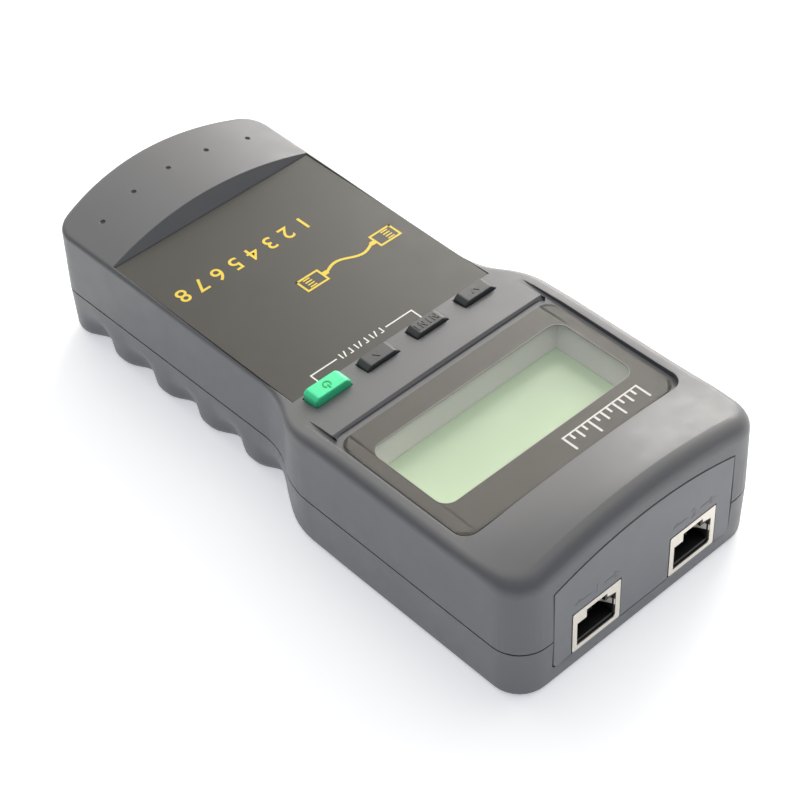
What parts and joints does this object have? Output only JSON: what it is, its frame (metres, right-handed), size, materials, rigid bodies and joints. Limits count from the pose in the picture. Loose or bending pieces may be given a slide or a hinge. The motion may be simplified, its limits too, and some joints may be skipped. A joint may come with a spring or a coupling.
{
  "type": "network cable tester",
  "caption": "Handheld network cable tester with a narrow grip, a wide head, a recessed display window, push keys and shielded modular sockets in the wide end.",
  "frame": {"origin": "centre of the footprint, on the plane that the back rests on", "axes": "+Y along the length towards the sockets, +Z out of the face with the keys"},
  "size_m": [0.083, 0.186, 0.0435],
  "materials": {
    "shell_plastic": "fine satin texture",
    "panel_plastic": "fine satin texture",
    "label_film": "semi-gloss printed film",
    "clear_window": "gloss, clear acrylic",
    "window_print": "print under the window",
    "pale_plastic": "satin",
    "lcd_glass": "gloss",
    "white_plastic": "satin",
    "elastomer": "matt",
    "circuit_board": "solder mask",
    "socket_metal": "bright plated",
    "black_plastic": "satin",
    "gold_contact": "gold plated",
    "green_plastic": "satin",
    "key_plastic": "satin",
    "chip_resin": "matt",
    "can_metal": "satin",
    "capacitor_sleeve": "shrink sleeve",
    "battery_case": "satin wrap",
    "lead_jacket": "satin",
    "screw_steel": "zinc plated"
  },
  "bodies": {
    "housing": {"upper_shell": "shell_plastic", "lower_shell": "shell_plastic", "jack_panel": "panel_plastic", "label_plate": "label_film", "display_window": "clear_window", "window_mask": "window_print", "display_frame": "pale_plastic", "display_glass": "lcd_glass", "backlight_plate": "white_plastic", "zebra_strips": "elastomer", "main_board": "circuit_board", "socket_a_shield": "socket_metal", "socket_a_insert": "black_plastic", "socket_a_contacts": "gold_contact", "socket_b_shield": "socket_metal", "socket_b_insert": "black_plastic", "socket_b_contacts": "gold_contact", "power_switch": "black_plastic", "key_switches": "black_plastic", "controller_chip": "chip_resin", "logic_chips": "chip_resin", "crystal": "can_metal", "capacitors": "capacitor_sleeve", "resistors": "chip_resin", "buzzer": "black_plastic", "battery": "battery_case", "battery_snap": "black_plastic", "battery_leads": "lead_jacket", "case_screws": "screw_steel", "board_screws": "screw_steel"},
    "power_button": {"power_key": "green_plastic"},
    "left_button": {"left_key": "key_plastic"},
    "middle_button": {"middle_key": "key_plastic"},
    "right_button": {"right_key": "key_plastic"},
    "door": {"battery_door": "shell_plastic"}
  },
  "joints": [
    {"name": "power_press", "type": "slide", "parent": "housing", "child": "power_button", "axis": [0, 0, -1], "range_m": [0, 0.0008], "stiffness_N_per_m": 400, "springref_m": -0.0006},
    {"name": "left_press", "type": "slide", "parent": "housing", "child": "left_button", "axis": [0, 0, -1], "range_m": [0, 0.0008], "stiffness_N_per_m": 400, "springref_m": -0.0006},
    {"name": "middle_press", "type": "slide", "parent": "housing", "child": "middle_button", "axis": [0, 0, -1], "range_m": [0, 0.0008], "stiffness_N_per_m": 400, "springref_m": -0.0006},
    {"name": "right_press", "type": "slide", "parent": "housing", "child": "right_button", "axis": [0, 0, -1], "range_m": [0, 0.0008], "stiffness_N_per_m": 400, "springref_m": -0.0006},
    {"name": "door_slide", "type": "slide", "parent": "housing", "child": "door", "axis": [0, 0, -1], "range_m": [0, 0.02]}
  ]
}
